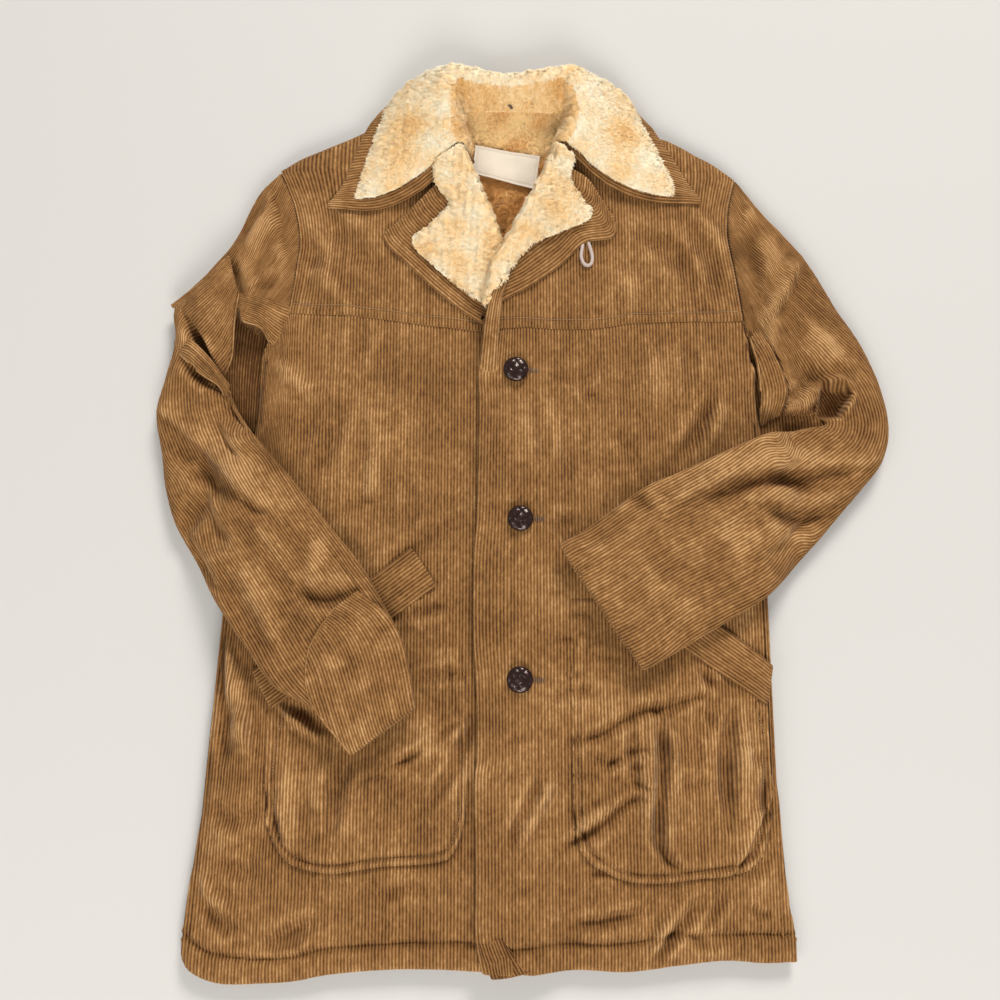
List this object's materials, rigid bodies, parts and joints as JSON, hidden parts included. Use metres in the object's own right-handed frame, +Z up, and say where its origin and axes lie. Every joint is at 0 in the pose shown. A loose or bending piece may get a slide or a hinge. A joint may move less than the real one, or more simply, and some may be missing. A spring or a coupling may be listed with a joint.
{
  "type": "corduroy coat",
  "caption": "Hip-length wide-wale corduroy coat with pile collar, lapels and lining, laid flat on its back with buttoned front and both sleeves bent over it.",
  "frame": {"origin": "middle of the coat's outline on the surface it lies on", "axes": "+X to the wearer's left, +Y from hem to collar, +Z up from the surface"},
  "size_m": [0.745, 0.9278, 0.0505],
  "materials": {
    "corduroy": "ribbed brown pile, soft sheen",
    "pile": "cream to honey deep pile",
    "lining_pile": "tan pile",
    "leather": "glossy dark brown, woven panels",
    "cord": "pale braided cord",
    "label": "plain off-white weave"
  },
  "bodies": {
    "root": {"back": "corduroy", "front_left": "corduroy", "front_right": "corduroy", "yoke_left": "corduroy", "yoke_right": "corduroy", "lapel_left": "corduroy", "lapel_right": "corduroy", "under_collar": "corduroy", "sleeve_left": "corduroy", "sleeve_right": "corduroy", "pocket_left": "corduroy", "pocket_right": "corduroy", "welt_left": "corduroy", "welt_right": "corduroy", "lapel_facing_left": "pile", "lapel_facing_right": "pile", "collar_facing": "pile", "neck_lining": "lining_pile", "button_top": "leather", "button_middle": "leather", "button_bottom": "leather", "lapel_loop": "cord", "neck_label": "label"}
  },
  "joints": []
}
